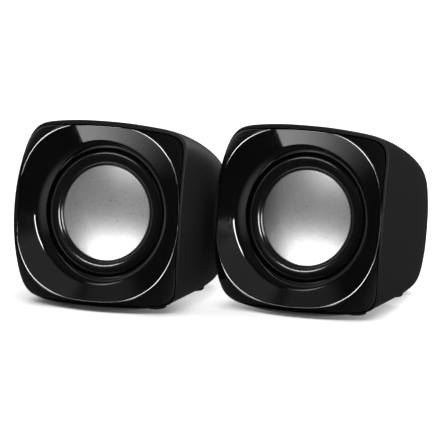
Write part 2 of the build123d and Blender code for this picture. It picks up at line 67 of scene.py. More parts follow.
# cabinet
FACE_HALF_WIDTH, FACE_TOP, FACE_BOTTOM = 37.6, 37.6, -39.4
REAR_HALF_WIDTH, REAR_TOP = 28.73, 22.21
DEPTH = 68.0
SIDE_POWER, TOP_POWER = 4.99, 1.75   # how late the sides and the top curve in
UNDERSIDE_RISE = math.tan(math.radians(10.0))
WALL = 2.0
FRONT_SQUARENESS, REAR_SQUARENESS = 8.69, 6.6   # superellipse exponents
RIPPLE_4, RIPPLE_8 = 0.0204, -0.0037   # 4- and 8-fold corrections of the outline

# domed front, bezel, bowl and mouth
DOME_RADIUS, DOME_CENTRE_Y = 69.0, 57.9
BEZEL_HALF_WIDTH, BEZEL_TOP, BEZEL_BOTTOM = 36.4, 35.45, -37.75
BEZEL_GAP, BEZEL_THICKNESS = 0.42, 2.2
BOWL_RADIUS, BOWL_Y, BOWL_SLOPE = 28.6, 4.54, 0.35
MOUTH_RADIUS, MOUTH_Y = 26.3, 7.6
MOUNT_Y = 9.6
BOWL_ROUNDING, DOME_ROUNDING = 1.6, 0.5


def unit(v):
    v = np.array(v, float)
    return v / np.linalg.norm(v)


class Speaker:
    """Speaker frame in millimetres: x right, y back along the driver axis, z up the face."""

    def __init__(self, side):
        joints = {joint["name"]: joint for joint in frame["joints"]}
        self.y = -unit(joints[side + "_cone_travel"]["axis"])
        self.x = unit(np.cross(self.y, [0, 0, 1]))
        self.z = np.cross(self.x, self.y)
        gasket = np.mean(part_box(side + "_driver_gasket"), axis=0)
        self.origin = gasket - self.y * GASKET_Y * MM

    def to_world(self, points):
        p = np.asarray(points, float) * MM
        return self.origin + p[..., 0:1] * self.x + p[..., 1:2] * self.y + p[..., 2:3] * self.z

    def vertex_radii(self, ob):
        """Distance of each vertex from the driver axis, in millimetres."""
        co = np.zeros(len(ob.data.vertices) * 3)
        ob.data.vertices.foreach_get("co", co)
        offset = co.reshape(-1, 3) - self.origin
        return np.hypot(offset @ self.x, offset @ self.z) / MM


SPEAKERS = {side: Speaker(side) for side in ("left", "right")}


# --------------------------------------------------------------------------
# Surfaces shared by the cabinet and the bezel
# --------------------------------------------------------------------------
def smoothstep(t):
    t = np.clip(t, 0, 1)
    return t * t * (3 - 2 * t)


def smooth_max(a, b, width):
    """Maximum with the crease rounded over the given width."""
    width = np.maximum(width, 1e-3)
    h = np.maximum(width - np.abs(a - b), 0) / width
    return np.maximum(a, b) + h * h * width / 4


def outline(half_width, top, bottom, angle, squareness=FRONT_SQUARENESS):
    """x and z of a rippled superellipse."""
    c, s = np.cos(angle), np.sin(angle)
    r = (np.abs(c) ** squareness + np.abs(s) ** squareness) ** (-1.0 / squareness)
    ripple = 1 + RIPPLE_4 * np.cos(4 * angle) + RIPPLE_8 * np.cos(8 * angle)
    r = r * ripple / (1 + RIPPLE_4 + RIPPLE_8)
    return half_width * r * c, (top + bottom) / 2 + (top - bottom) / 2 * r * s


def body_outline(y, angle, inset=0.0):
    """x and z of the cabinet at depth y, moved inwards by inset."""
    y = np.clip(np.broadcast_to(np.asarray(y, float), angle.shape), 0, None)
    u = y / DEPTH
    half_width = REAR_HALF_WIDTH + (FACE_HALF_WIDTH - REAR_HALF_WIDTH) * (1 - u ** SIDE_POWER)
    top = REAR_TOP + (FACE_TOP - REAR_TOP) * (1 - u ** TOP_POWER)
    bottom = FACE_BOTTOM + y * UNDERSIDE_RISE
    squareness = FRONT_SQUARENESS + (REAR_SQUARENESS - FRONT_SQUARENESS) * u
    return outline(half_width - inset, top - inset, bottom + inset, angle, squareness)


def dome_y(r):
    squared = DOME_RADIUS ** 2 - np.asarray(r) ** 2
    return DOME_CENTRE_Y - np.sqrt(np.clip(squared, 1, None))


def cone_y(r):
    return BOWL_Y - (r - BOWL_RADIUS) * BOWL_SLOPE


def bowl_y(r):
    """Bowl cone running into the steeper throat."""
    throat = BOWL_Y + (BOWL_RADIUS - r) * (MOUTH_Y - BOWL_Y) / (BOWL_RADIUS - MOUTH_RADIUS)
    return smooth_max(cone_y(r), throat, BOWL_ROUNDING)


def front_y(r):
    """Depth of the plain front: dome, bowl and throat."""
    return smooth_max(bowl_y(r), dome_y(r), DOME_ROUNDING)


# --------------------------------------------------------------------------
# Mesh helpers
# --------------------------------------------------------------------------
def new_mesh(name, vertices, faces, material):
    mesh = bpy.data.meshes.new(name)
    mesh.from_pydata([tuple(v) for v in np.asarray(vertices, float)], [], faces)
    mesh.validate()
    mesh.update()
    ob = bpy.data.objects.new(name, mesh)
    bpy.context.scene.collection.objects.link(ob)
    mesh.materials.append(material)
    return ob


def closed_mesh(name, vertices, faces, slot):
    """Smooth-shaded solid with its normals outwards."""
    ob = new_mesh(name, vertices, faces, MATERIALS[slot])
    mesh = ob.data
    mesh.polygons.foreach_set("use_smooth", [True] * len(mesh.polygons))
    bm = bmesh.new()
    bm.from_mesh(mesh)
    bmesh.ops.recalc_face_normals(bm, faces=bm.faces)
    bm.to_mesh(mesh)
    bm.free()
    mesh.update()
    return ob


def place(ob, body, replaced):
    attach(ob, body)
    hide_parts(replaced)


def around(count):
    return np.linspace(0, 2 * math.pi, count, endpoint=False)


def ring_points(x, y, z):
    return np.stack([x, np.broadcast_to(y, x.shape), z], 1)


def skin(rings, ends=None):
    """Quads between successive rings. Fans close them on the two end points;
    without end points the last ring joins the first."""
    count, n = len(rings), len(rings[0])
    vertices = np.concatenate(rings)
    faces = []
    for j in range(count - 1 if ends else count):
        a, b = j * n, ((j + 1) % count) * n
        for i in range(n):
            k = (i + 1) % n
            faces.append((a + i, a + k, b + k, b + i))
    if ends:
        start = len(vertices)
        last = (count - 1) * n
        vertices = np.vstack([vertices, *ends])
        faces += [((i + 1) % n, i, start) for i in range(n)]
        faces += [(last + i, last + (i + 1) % n, start + 1) for i in range(n)]
    return vertices, faces


def lathe(speaker, name, profile, slot, segments):
    """Turned piece about the driver axis from (radius, y) points.
    The profile is a closed loop, or starts and ends on the axis."""
    angle = around(segments)
    ends = None
    if profile[0][0] == 0:
        ends = ([0, profile[0][1], 0], [0, profile[-1][1], 0])
        profile = profile[1:-1]
    rings = [ring_points(r * np.cos(angle), y, r * np.sin(angle)) for r, y in profile]
    vertices, faces = skin(rings, ends)
    return closed_mesh(name, speaker.to_world(vertices), faces, slot)


def round_corner(a, corner, b, count):
    """Rings of a quadratic curve from a to b, pulled towards the corner."""
    return [(1 - t) ** 2 * a + 2 * t * (1 - t) * corner + t * t * b
            for t in np.linspace(0, 1, count)]


def step_toward(a, b, distance):
    """Points the given distance from a towards b, kept short of the middle."""
    v = b - a
    length = np.linalg.norm(v, axis=1, keepdims=True)
    return a + v / np.maximum(length, 1e-9) * np.minimum(distance, 0.45 * length)


def rounded_rect(angle, half_width, bottom, top, radius):
    """Rounded rectangle with its points on rays at the given angles."""
    half_height = (top - bottom) / 2
    c, s = np.cos(angle), np.sin(angle)
    reach = 1.0 / np.maximum(np.abs(c) / half_width, np.abs(s) / half_height)
    x, z = reach * c, reach * s
    in_corner = (np.abs(x) > half_width - radius) & (np.abs(z) > half_height - radius)
    for i in np.where(in_corner)[0]:
        # where the ray meets the corner's arc
        ray = np.array([c[i], s[i]])
        centre = np.array([math.copysign(half_width - radius, x[i]),
                           math.copysign(half_height - radius, z[i])])
        along = ray @ centre
        root = along * along - (centre @ centre - radius * radius)
        x[i], z[i] = ray * (along + math.sqrt(max(root, 0)))
    return x, z + (bottom + top) / 2


# --------------------------------------------------------------------------
# Shader node helpers
# --------------------------------------------------------------------------
def set_inputs(tree, node, inputs):
    """Links each socket given, and sets each plain value given."""
    for key, value in inputs.items():
        if isinstance(value, bpy.types.NodeSocket):
            tree.links.new(value, node.inputs[key])
        else:
            node.inputs[key].default_value = value


def add_node(tree, kind, inputs=None, **settings):
    node = tree.nodes.new(kind)
    for key, value in settings.items():
        setattr(node, key, value)
    set_inputs(tree, node, inputs or {})
    return node


def calc(tree, operation, *values):
    node = add_node(tree, "ShaderNodeMath", dict(enumerate(values)), operation=operation)
    return node.outputs[0]


def soft_step(tree, value, start, end):
    """0 on the start side and 1 on the end side, smooth between; start may be above end."""
    rising = start < end
    return add_node(tree, "ShaderNodeMapRange", {
        "Value": value,
        "From Min": min(start, end),
        "From Max": max(start, end),
        "To Min": 0.0 if rising else 1.0,
        "To Max": 1.0 if rising else 0.0,
    }, interpolation_type="SMOOTHSTEP").outputs["Result"]


def new_material(name):
    material = bpy.data.materials.new(name)
    material.use_nodes = True
    tree = material.node_tree
    return material, tree, tree.nodes["Principled BSDF"]


def object_coords(tree):
    point = add_node(tree, "ShaderNodeTexCoord").outputs["Object"]
    return add_node(tree, "ShaderNodeMapping", {"Vector": point}).outputs["Vector"]


def noise(tree, point, scale, detail, roughness=0.5):
    return add_node(tree, "ShaderNodeTexNoise", {
        "Vector": point, "Scale": scale, "Detail": detail, "Roughness": roughness,
    }).outputs["Fac"]


def ramp(tree, factor, stops):
    """Colour ramp from (position, grey or colour) stops."""
    node = add_node(tree, "ShaderNodeValToRGB", {"Fac": factor})
    elements = node.color_ramp.elements
    while len(elements) < len(stops):
        elements.new(0.5)
    for element, (position, color) in zip(elements, stops):
        element.position = position
        if isinstance(color, (int, float)):
            color = (color, color, color)
        element.color = (*color, 1)
    return node.outputs["Color"]


def bump(tree, height, strength, distance):
    return add_node(tree, "ShaderNodeBump", {
        "Height": height, "Strength": strength, "Distance": distance,
    }).outputs["Normal"]


def tones(color, drift):
    """Ramp stops from a darker to a lighter version of the colour."""
    darker = tuple(c * (1 - drift) for c in color)
    lighter = tuple(min(1, c * (1 + drift)) for c in color)
    return [(0.3, darker), (0.7, lighter)]


# --------------------------------------------------------------------------
# Materials, all procedural
# --------------------------------------------------------------------------
def plastic(name, color, roughness, grain, strength, distance, drift, specular, spread):
    """Moulded plastic or rubber: fine grain, soft tone drift, uneven roughness."""
    material, tree, bsdf = new_material(name)
    point = object_coords(tree)
    cloud = noise(tree, point, scale=60.0, detail=3.0)
    wear = noise(tree, point, scale=240.0, detail=5.0, roughness=0.6)
    fine = noise(tree, point, scale=grain, detail=2.0)
    set_inputs(tree, bsdf, {
        "Base Color": ramp(tree, cloud, tones(color, drift)),
        "Roughness": ramp(tree, wear, [(0.3, max(0.02, roughness - spread)),
                                       (0.7, min(1, roughness + spread))]),
        "Normal": bump(tree, fine, strength, distance),
        "Specular IOR Level": specular,
    })
    return material


METAL_DRIFT = 0.12     # tone variation
METAL_SPREAD = 0.06    # roughness variation


def metal(name, color, roughness, grain=1800.0, strength=0.1, stretch=(1, 1, 1)):
    """Metal with fine brushing or plating variation."""
    material, tree, bsdf = new_material(name)
    point = add_node(tree, "ShaderNodeTexCoord").outputs["Object"]
    stretched = add_node(tree, "ShaderNodeMapping", {"Vector": point, "Scale": stretch})
    cloud = noise(tree, point, scale=120.0, detail=3.0)
    fine = noise(tree, stretched.outputs["Vector"], scale=grain, detail=3.0, roughness=0.6)
    set_inputs(tree, bsdf, {
        "Base Color": ramp(tree, cloud, tones(color, METAL_DRIFT)),
        "Roughness": ramp(tree, fine, [(0.3, max(0.03, roughness - METAL_SPREAD)),
                                       (0.7, roughness + METAL_SPREAD)]),
        "Normal": bump(tree, fine, strength, distance=2e-5),
        "Metallic": 1.0,
    })
    return material


def gloss_black(name):
    """Deep gloss black moulding: near-mirror, with faint orange peel and hairline haze."""
    material, tree, bsdf = new_material(name)
    point = object_coords(tree)
    cloud = noise(tree, point, scale=90.0, detail=2.0)
    hair = noise(tree, point, scale=900.0, detail=6.0, roughness=0.7)
    peel = noise(tree, point, scale=220.0, detail=2.0)
    set_inputs(tree, bsdf, {
        "Base Color": ramp(tree, cloud, [(0.35, (0.0010, 0.0010, 0.0011)),
                                         (0.65, (0.0015, 0.0015, 0.0016))]),
        "Roughness": ramp(tree, hair, [(0.35, 0.045), (0.75, 0.085)]),
        "Normal": bump(tree, peel, strength=0.02, distance=4e-5),
        "Specular IOR Level": 0.5,
        "Coat Weight": 0.35,
        "Coat Roughness": 0.03,
    })
    return material


def silver_cap(name):
    """Satin metallic coating: flake sparkle, slight cloudiness, softly varied sheen."""
    material, tree, bsdf = new_material(name)
    point = object_coords(tree)
    cloud = noise(tree, point, scale=70.0, detail=4.0, roughness=0.6)
    flakes = add_node(tree, "ShaderNodeTexVoronoi", {"Vector": point, "Scale": 2600.0})
    # inputs 0, 6 and 7 are the factor and the two colours
    color = add_node(tree, "ShaderNodeMix", {
        0: 0.45,
        6: ramp(tree, cloud, [(0.25, (0.50, 0.50, 0.505)), (0.75, (0.60, 0.60, 0.605))]),
        7: ramp(tree, flakes.outputs["Distance"], [(0.0, 1.0), (0.5, 0.80), (1.0, 0.45)]),
    }, data_type="RGBA", blend_type="MULTIPLY")
    grit = noise(tree, point, scale=1500.0, detail=3.0, roughness=0.6)
    fine = noise(tree, point, scale=2200.0, detail=2.0, roughness=0.6)
    set_inputs(tree, bsdf, {
        "Base Color": color.outputs[2],
        "Roughness": ramp(tree, grit, [(0.3, 0.27), (0.7, 0.40)]),
        "Normal": bump(tree, fine, strength=0.16, distance=3e-5),
        "Metallic": 1.0,
    })
    return material


def wave_bands(tree, point, axis, scale, distortion=0.0):
    return add_node(tree, "ShaderNodeTexWave", {
        "Vector": point, "Scale": scale, "Distortion": distortion,
    }, wave_type="BANDS", bands_direction=axis).outputs["Fac"]


def spider_cloth(name):
    """Resin-treated woven cloth."""
    material, tree, bsdf = new_material(name)
    point = object_coords(tree)
    color = (0.55, 0.36, 0.14)
    shadow = tuple(c * 0.55 for c in color)
    threads = calc(tree, "MAXIMUM",
                   *(wave_bands(tree, point, axis, scale=420.0, distortion=0.6) for axis in "XZ"))
    set_inputs(tree, bsdf, {
        "Base Color": ramp(tree, threads, [(0.2, shadow), (0.9, color)]),
        "Normal": bump(tree, threads, strength=0.5, distance=1e-4),
        "Roughness": 0.85,
        "Sheen Weight": 0.2,
    })
    return material


def circuit_board(name):
    """Green solder mask with a pattern of lighter lines."""
    material, tree, bsdf = new_material(name)
    bricks = add_node(tree, "ShaderNodeTexBrick", {
        "Vector": object_coords(tree),
        "Scale": 260.0,
        "Mortar Size": 0.06,
        "Color1": (0.010, 0.095, 0.040, 1),
        "Color2": (0.012, 0.115, 0.048, 1),
        "Mortar": (0.035, 0.20, 0.08, 1),
    })
    set_inputs(tree, bsdf, {
        "Base Color": bricks.outputs["Color"],
        "Normal": bump(tree, bricks.outputs["Fac"], strength=0.25, distance=5e-5),
        "Roughness": 0.35,
    })
    return material


def copper_wire(name):
    """Fine enamelled winding."""
    material, tree, bsdf = new_material(name)
    turns = wave_bands(tree, object_coords(tree), "Y", scale=1400.0)
    # painted shade: the base colour darkens where the bump is lowest, in the grooves between the turns
    set_inputs(tree, bsdf, {
        "Base Color": ramp(tree, turns, [(0.1, (0.28, 0.10, 0.04)), (0.8, (0.75, 0.34, 0.15))]),
        "Normal": bump(tree, turns, strength=0.5, distance=5e-5),
        "Metallic": 1.0,
        "Roughness": 0.3,
    })
    return material


def pale_floor(name):
    material, tree, bsdf = new_material(name)
    cloud = noise(tree, object_coords(tree), scale=3.0, detail=2.0)
    set_inputs(tree, bsdf, {
        "Base Color": ramp(tree, cloud, [(0.3, 0.93), (0.7, 0.95)]),
        "Roughness": 0.9,
        "Specular IOR Level": 0.0,
    })
    return material


def dull_outer_roll(material):
    """Lowers the specular level where the mesh's "dull" attribute rises."""
    tree = material.node_tree
    dull = add_node(tree, "ShaderNodeAttribute", attribute_name="dull")
    shine = add_node(tree, "ShaderNodeMapRange", {
        "Value": dull.outputs["Fac"], "To Min": 0.5, "To Max": 0.16})
    bsdf = tree.nodes["Principled BSDF"]
    set_inputs(tree, bsdf, {"Specular IOR Level": shine.outputs["Result"]})


# colour, roughness, grain scale, bump strength, bump distance (m),
# tone drift, specular level, roughness spread
PLASTICS = {
    "matt_black_shell": ((0.0036, 0.0036, 0.0037), 0.46, 3200, 0.22, 2e-5, 0.05, 0.42, 0.02),
    "matt_black_cover": ((0.0070, 0.0070, 0.0074), 0.58, 1500, 0.45, 6e-5, 0.2, 0.42, 0.08),
    "foot_rubber": ((0.012, 0.012, 0.012), 0.8, 1200, 0.4, 8e-5, 0.3, 0.3, 0.08),
    "basket_steel": ((0.02, 0.02, 0.021), 0.4, 900, 0.2, 5e-5, 0.2, 0.5, 0.08),
    "gasket_foam": ((0.008, 0.008, 0.008), 0.85, 900, 0.7, 1.5e-4, 0.3, 0.25, 0.08),
    "surround_rubber": ((0.0036, 0.0036, 0.0038), 0.19, 1700, 0.06, 3e-5, 0.2, 0.5, 0.02),
    "cone_paper": ((0.03, 0.03, 0.031), 0.8, 700, 0.5, 1e-4, 0.35, 0.3, 0.08),
    "former_film": ((0.35, 0.16, 0.04), 0.3, 500, 0.1, 3e-5, 0.2, 0.5, 0.08),
    "ferrite": ((0.035, 0.035, 0.038), 0.62, 800, 0.5, 1e-4, 0.3, 0.5, 0.08),
    "phenolic_board": ((0.16, 0.075, 0.03), 0.55, 600, 0.3, 6e-5, 0.35, 0.5, 0.08),
    "lead_wire": ((0.22, 0.012, 0.012), 0.4, 700, 0.15, 4e-5, 0.25, 0.5, 0.08),
    "grommet_rubber": ((0.010, 0.010, 0.010), 0.6, 1300, 0.35, 6e-5, 0.25, 0.4, 0.08),
    "chip_body": ((0.015, 0.015, 0.016), 0.6, 1100, 0.3, 5e-5, 0.25, 0.5, 0.08),
    "capacitor_sleeve": ((0.015, 0.02, 0.06), 0.25, 500, 0.1, 4e-5, 0.2, 0.5, 0.08),
    "knob_plastic": ((0.009, 0.009, 0.0095), 0.42, 1500, 0.3, 5e-5, 0.2, 0.5, 0.08),
    "cable_jacket": ((0.009, 0.009, 0.0095), 0.38, 1100, 0.25, 6e-5, 0.25, 0.5, 0.08),
    "plug_plastic": ((0.010, 0.010, 0.0105), 0.45, 1300, 0.35, 6e-5, 0.25, 0.5, 0.08),
    "insert_plastic": ((0.75, 0.75, 0.72), 0.45, 900, 0.15, 4e-5, 0.06, 0.5, 0.08),
    "tie_plastic": ((0.014, 0.014, 0.015), 0.5, 900, 0.35, 6e-5, 0.25, 0.5, 0.08),
}
# colour, roughness
METALS = {
    "black_screw": ((0.05, 0.05, 0.052), 0.38),
    "zinc_steel": ((0.55, 0.55, 0.57), 0.32),
    "zinc_screw": ((0.60, 0.60, 0.63), 0.24),
    "lug_brass": ((0.72, 0.56, 0.30), 0.3),
    "pot_body": ((0.5, 0.5, 0.5), 0.4),
    "plug_metal": ((0.68, 0.68, 0.69), 0.2),
    "pin_metal": ((0.70, 0.68, 0.60), 0.17),
}

MATERIALS = {name: plastic(name, *row) for name, row in PLASTICS.items()}
MATERIALS.update({name: metal(name, *row) for name, row in METALS.items()})
MATERIALS["shaft_metal"] = metal("shaft_metal", (0.62, 0.62, 0.64), roughness=0.25,
                                 grain=2200.0, strength=0.2, stretch=(1, 0.05, 1))
for make in (gloss_black, silver_cap, copper_wire, spider_cloth, circuit_board):
    MATERIALS[make.__name__] = make(make.__name__)
dull_outer_roll(MATERIALS["surround_rubber"])

for subpart in frame["record"]["subparts"]:
    node = frame["nodes"].get(subpart["node"])
    if node is None:
        continue
    node.data.materials.clear()
    node.data.materials.append(MATERIALS[subpart["material_slot"]])


# --------------------------------------------------------------------------
# Cabinet shell
# --------------------------------------------------------------------------
REAR_EDGE_DEPTH, REAR_EDGE_WIDTH = 3.3, 3.1   # rounding along the side, across the rear
# recess in the rear, and the opening inside it
RECESS_HALF_WIDTH, RECESS_BOTTOM, RECESS_TOP, RECESS_RADIUS = 23.65, -20.85, 15.85, 4.15
RECESS_DEPTH, RECESS_LEDGE = 2.4, 3.65
OPENING_RADIUS, OPENING_DEPTH = 3.0, 4.0
INNER_DEPTHS = (64.0, 58.0, 50.0, 40.0, 30.0, 20.0, 12.0)


def cabinet(side):
    speaker = SPEAKERS[side]
    angle = around(288)

    def body_ring(y, inset=0.0):
        x, z = body_outline(y, angle, inset)
        return ring_points(x, y, z)

    # outer front corner: where the side meets the dome
    corner_y = np.full(angle.shape, 2.0)
    for _ in range(40):
        corner_y = 0.5 * corner_y + 0.5 * dome_y(np.hypot(*body_outline(corner_y, angle)))
    corner = body_ring(corner_y)

    # lip round the bezel, and the floor of the seat behind it
    lip_x, lip_z = outline(BEZEL_HALF_WIDTH + BEZEL_GAP, BEZEL_TOP + BEZEL_GAP,
                           BEZEL_BOTTOM - BEZEL_GAP, angle)
    lip_radius = np.hypot(lip_x, lip_z)
    lip = ring_points(lip_x, dome_y(lip_radius), lip_z)
    floor_y = front_y(lip_radius) + BEZEL_THICKNESS
    lip_floor = ring_points(lip_x, floor_y, lip_z)
    rings = [lip_floor, step_toward(lip, lip_floor, 0.30)]
    rings += round_corner(step_toward(lip, lip_floor, 0.16), lip,
                          step_toward(lip, corner, 0.16), 4)
    for t in (0.3, 0.6):
        between = lip + (corner - lip) * t
        between[:, 1] = dome_y(np.hypot(between[:, 0], between[:, 2]))
        rings.append(between)

    # rounded front corner, then the sides
    side_start = corner_y + 0.55
    side_end = DEPTH - REAR_EDGE_DEPTH
    rings += round_corner(step_toward(corner, lip, 0.36), corner, body_ring(side_start), 8)
    for t in np.linspace(0.012, 0.93, 46) / 0.93:
        rings.append(body_ring(side_start + (side_end - side_start) * t))

    # rounded rear edge
    rear_corner = body_ring(DEPTH)
    rear_edge = rear_corner.copy()
    centre_z = (REAR_TOP + FACE_BOTTOM + DEPTH * UNDERSIDE_RISE) / 2
    shrink = 1 - REAR_EDGE_WIDTH / np.hypot(rear_edge[:, 0], rear_edge[:, 2] - centre_z)
    rear_edge[:, 0] *= shrink
    rear_edge[:, 2] = centre_z + (rear_edge[:, 2] - centre_z) * shrink
    rings += round_corner(body_ring(side_end), rear_corner, rear_edge, 9)[1:]

    # rear recess and opening
    x, z = rounded_rect(angle, RECESS_HALF_WIDTH, RECESS_BOTTOM, RECESS_TOP, RECESS_RADIUS)
    rim = ring_points(x, DEPTH, z)
    rings += [rear_edge + (rim - rear_edge) * t for t in (0.15, 0.6)]
    rings += [step_toward(rim, rear_edge, 0.25),
              step_toward(rim, ring_points(x, DEPTH - 1, z), 0.2),
              ring_points(x, DEPTH - RECESS_DEPTH, z)]
    x, z = rounded_rect(angle, RECESS_HALF_WIDTH - RECESS_LEDGE, RECESS_BOTTOM + RECESS_LEDGE,
                        RECESS_TOP - RECESS_LEDGE, OPENING_RADIUS)
    rings += [ring_points(x, DEPTH - depth, z) for depth in (RECESS_DEPTH, OPENING_DEPTH)]

    # inner wall, back to the bezel's seat
    for y in INNER_DEPTHS:
        inner = body_ring(y, WALL)
        inner[:, 1] = np.maximum(y, floor_y + 0.3)
        rings.append(inner)
    rings.append(body_ring(floor_y, WALL))

    vertices, faces = skin(rings)
    ob = closed_mesh(side + "_cabinet", speaker.to_world(vertices), faces, "matt_black_shell")
    place(ob, side + "_speaker", side + "_cabinet_shell")


# --------------------------------------------------------------------------
# Gloss bezel
# --------------------------------------------------------------------------
BOWL_END = 30.5          # the front is the same all round up to this radius
BEZEL_EDGE_ROUNDING = 0.26
BACK_RADII = (36.0, 34.5, 33.0, 31.3)


def bezel_ridge(angle):
    """Radius of the ridge round the bowl, and the width of its rounding.
    The ridge bows out into the corners and runs into the edge along the sides,
    where its rounding narrows."""
    cornerness = -np.cos(4 * angle)   # 1 on the diagonals, -1 at the sides
    upper = np.clip(np.sin(angle), 0, 1)
    radius = (39.35 - 1.5 * (1 - cornerness) - 0.5 * np.cos(angle)
              - 0.9 * ((1 - cornerness) / 2) ** 2 * upper ** 2)
    width = 0.05 + 0.85 * smoothstep((cornerness + 0.45) / 1.45)
    # narrower still on the right, a little above the middle
    width = width * (1 - 0.8 * smoothstep((np.cos(angle - 0.38) - 0.93) / 0.05))
    return radius, width


def bezel(side):
    angle = around(384)
    dense_x, dense_z = outline(BEZEL_HALF_WIDTH, BEZEL_TOP, BEZEL_BOTTOM, around(7200))
    edge = np.interp(angle, np.arctan2(dense_z, dense_x), np.hypot(dense_x, dense_z),
                     period=2 * math.pi)
    ridge, ridge_width = bezel_ridge(angle)
    lift = cone_y(ridge) - dome_y(ridge)

    def ring_at(r, y):
        r = np.broadcast_to(r, angle.shape)
        return ring_points(r * np.cos(angle), y, r * np.sin(angle))

    def ridged_y(r):
        """The bowl inside the ridge, and the dome falling away outside it."""
        return smooth_max(bowl_y(r), dome_y(r) + lift, ridge_width)

    # throat
    rings = [ring_at(MOUTH_RADIUS, y)
             for y in (MOUNT_Y, 8.6, front_y(MOUTH_RADIUS + 0.02) + 0.22)]
    throat_end = MOUTH_RADIUS + 0.2
    rings += round_corner(rings[-1], ring_at(MOUTH_RADIUS, front_y(MOUTH_RADIUS)),
                          ring_at(throat_end, front_y(throat_end)), 5)[1:]
    # bowl, dense where the throat turns into it
    for r in [26.8, 27.3, 27.7, *np.linspace(27.95, 30.05, 15), 30.2, BOWL_END]:
        rings.append(ring_at(r, front_y(r)))
    # up to the ridge, over it and out to the edge
    outer = edge - BEZEL_EDGE_ROUNDING
    radii = [ridge - 0.95 + (31.0 - ridge + 0.95) * t for t in np.linspace(1, 0, 12)]
    radii += [ridge + offset for offset in np.linspace(-0.9, 0.9, 37)]
    radii += [ridge + 0.9 + (outer - ridge - 0.9) * t for t in np.linspace(0.15, 0.9, 6)]
    for i, r in enumerate(radii):
        # the limits keep successive rings from crossing
        r = np.minimum(np.maximum(r, BOWL_END + 0.01 * i), outer - 0.012 * (len(radii) - i))
        rings.append(ring_at(r, ridged_y(r)))
    rings.append(ring_at(outer, ridged_y(outer)))
    # rounded outer edge and rim
    edge_y = ridged_y(edge)
    rings += round_corner(rings[-1], ring_at(edge, edge_y),
                          ring_at(edge, edge_y + BEZEL_EDGE_ROUNDING), 6)[1:]
    rings += [ring_at(edge, edge_y + 0.6),
              ring_at(edge, front_y(edge) + BEZEL_THICKNESS - 0.1)]
    # back
    for r in [edge - 0.1] + [np.minimum(r, edge - 0.4) for r in BACK_RADII]:
        rings.append(ring_at(r, front_y(r) + BEZEL_THICKNESS))
    rings.append(ring_at(BACK_RADII[-1], MOUNT_Y))

    vertices, faces = skin(rings)
    ob = closed_mesh(side + "_bezel", SPEAKERS[side].to_world(vertices), faces, "gloss_black")
    place(ob, side + "_speaker", side + "_front_bezel")


# --------------------------------------------------------------------------
# Driver: cap, surround and spider
# --------------------------------------------------------------------------
CAP_RADIUS, CAP_RISE, CAP_EDGE_Y, CAP_THICKNESS = 19.7, 2.4, 9.8, 0.45
CAP_CURVATURE = (CAP_RADIUS ** 2 + CAP_RISE ** 2) / (2 * CAP_RISE)
CAP_FRONT_RADII = (0, 0.6, 1.5, 3, 5, 7, 9, 11, 13, 15, 16.5, 17.8, 18.6, 19.1)

SURROUND_Y, SURROUND_THICKNESS = 10.1, 0.5   # front and thickness of the flat foot
ROLL_RADIUS = 23.2                           # radius of the roll's middle

SPIDER_Y, SPIDER_HALF_THICKNESS = 19.95, 0.17
WAVES_START, WAVES_END, WAVES, WAVE_HEIGHT = 7.0, 13.4, 3.5, 0.62
SPIDER_STEP = 0.33                           # the outer rim lies this far back


def cap_y(r):
    return CAP_EDGE_Y - CAP_RISE + CAP_CURVATURE - math.sqrt(CAP_CURVATURE ** 2 - r * r)


def cap(side):
    """Shallow silver dome with a rolled edge."""
    profile = [(r, cap_y(r)) for r in CAP_FRONT_RADII]
    profile += [(19.40, cap_y(19.4) + 0.01), (19.58, cap_y(19.58) + 0.06),
                (19.68, cap_y(19.6) + 0.17), (CAP_RADIUS, cap_y(CAP_RADIUS) + 0.32),
                (CAP_RADIUS, 10.6), (19.2, 10.6), (19.2, 10.25)]
    profile += [(r, cap_y(r) + CAP_THICKNESS) for r in (18, 15, 10, 5, 0)]
    ob = lathe(SPEAKERS[side], side + "_silver_cap", profile, "silver_cap", 256)
    place(ob, side + "_cone_assembly", side + "_dome_cap")


def flex(side, ob, replaced):
    """Bakes the piece into world space and hides the CAD part it replaces."""
    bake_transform(ob)
    radii = SPEAKERS[side].vertex_radii(ob)
    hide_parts(replaced)


def half_roll(start, end, count, half_width, height, y):
    """Arc of (radius, y) points between two angles in degrees, bulging forwards."""
    return [(ROLL_RADIUS + half_width * math.cos(a), y - height * math.sin(a))
            for a in np.linspace(math.radians(start), math.radians(end), count)]


def surround(side):
    """Rubber half roll with moulded beads at its two feet."""
    y = SURROUND_Y
    back = y + SURROUND_THICKNESS
    profile = [(31.0, y), (26.6, y), (26.35, y - 0.02), (26.15, y - 0.12)]
    profile += half_roll(18, 162, 30, half_width=2.86, height=2.22, y=y + 0.12)
    profile += [(20.36, y - 0.46), (20.22, y - 0.30), (20.05, y - 0.22), (19.90, y - 0.12),
                (19.86, y + 0.1), (19.95, back), (20.9, back)]
    profile += half_roll(160, 20, 16, half_width=2.3, height=1.9, y=back)
    profile += [(25.6, back), (31.0, back)]
    speaker = SPEAKERS[side]
    ob = lathe(speaker, side + "_rubber_surround", profile, "surround_rubber", 256)
    # the outer half of the roll is duller than the inner half
    dull = ob.data.attributes.new("dull", "FLOAT", "POINT")
    amount = smoothstep((speaker.vertex_radii(ob) - 23.3) / 0.7)
    dull.data.foreach_set("value", amount.astype(np.float32))
    flex(side, ob, side + "_driver_surround")


def spider_y(r):
    if r < WAVES_START:
        return SPIDER_Y
    if r < WAVES_END:
        turns = WAVES * (r - WAVES_START) / (WAVES_END - WAVES_START)
        return SPIDER_Y - WAVE_HEIGHT * math.sin(2 * math.pi * turns)
    return SPIDER_Y + SPIDER_STEP * min(1.0, (r - WAVES_END) / 0.5)


